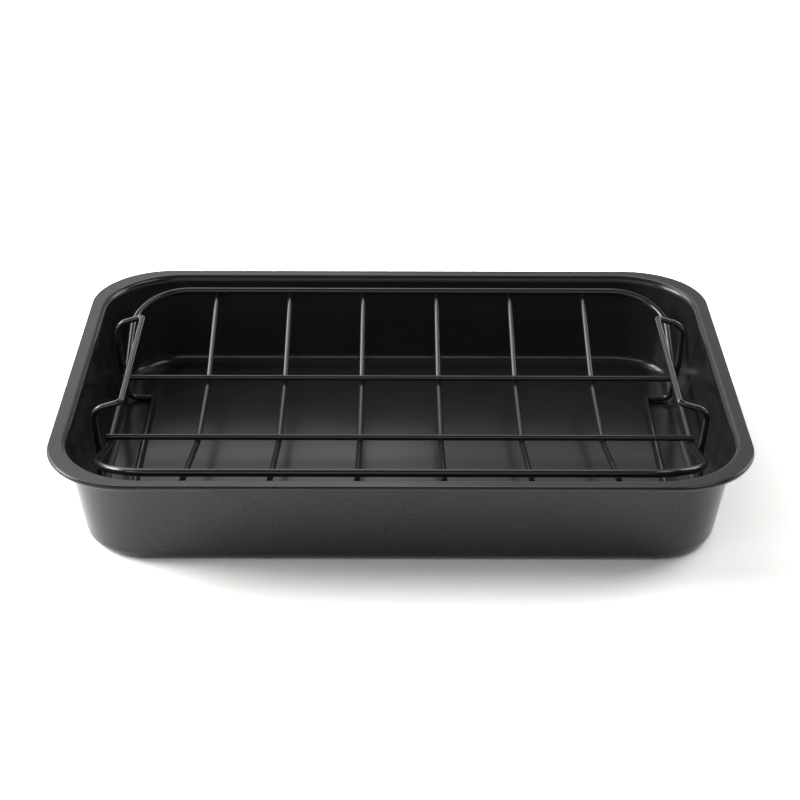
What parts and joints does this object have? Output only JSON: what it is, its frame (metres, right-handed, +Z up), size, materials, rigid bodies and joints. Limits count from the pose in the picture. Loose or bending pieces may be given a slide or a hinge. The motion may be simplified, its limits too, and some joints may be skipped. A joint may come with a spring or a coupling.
{
  "type": "roasting pan with rack",
  "caption": "Rectangular dark steel roasting pan with tapered walls and a flat rolled rim, holding a lift-out wire rack with a dished grate, end grips and feet.",
  "frame": {"origin": "middle of the pan's underside, on the surface that the pan stands on", "axes": "+X along the pan's length to the right, +Y across it to the back, +Z up"},
  "size_m": [0.42, 0.304, 0.0712],
  "materials": {
    "pan_coating": "dark grey non-stick coating on steel, satin",
    "rack_coating": "black non-stick coating on steel wire, satin gloss"
  },
  "bodies": {
    "pan": {"pan": "pan_coating"},
    "rack": {"rack_frame": "rack_coating", "cross_wire_1": "rack_coating", "cross_wire_2": "rack_coating", "cross_wire_3": "rack_coating", "cross_wire_4": "rack_coating", "cross_wire_5": "rack_coating", "cross_wire_6": "rack_coating", "long_wire_front": "rack_coating", "long_wire_rear": "rack_coating", "handle_loop_left": "rack_coating", "handle_loop_right": "rack_coating"}
  },
  "joints": [
    {"name": "rack_lift", "type": "slide", "parent": "pan", "child": "rack", "axis": [0, 0, 1], "range_m": [0, 0.08]}
  ]
}
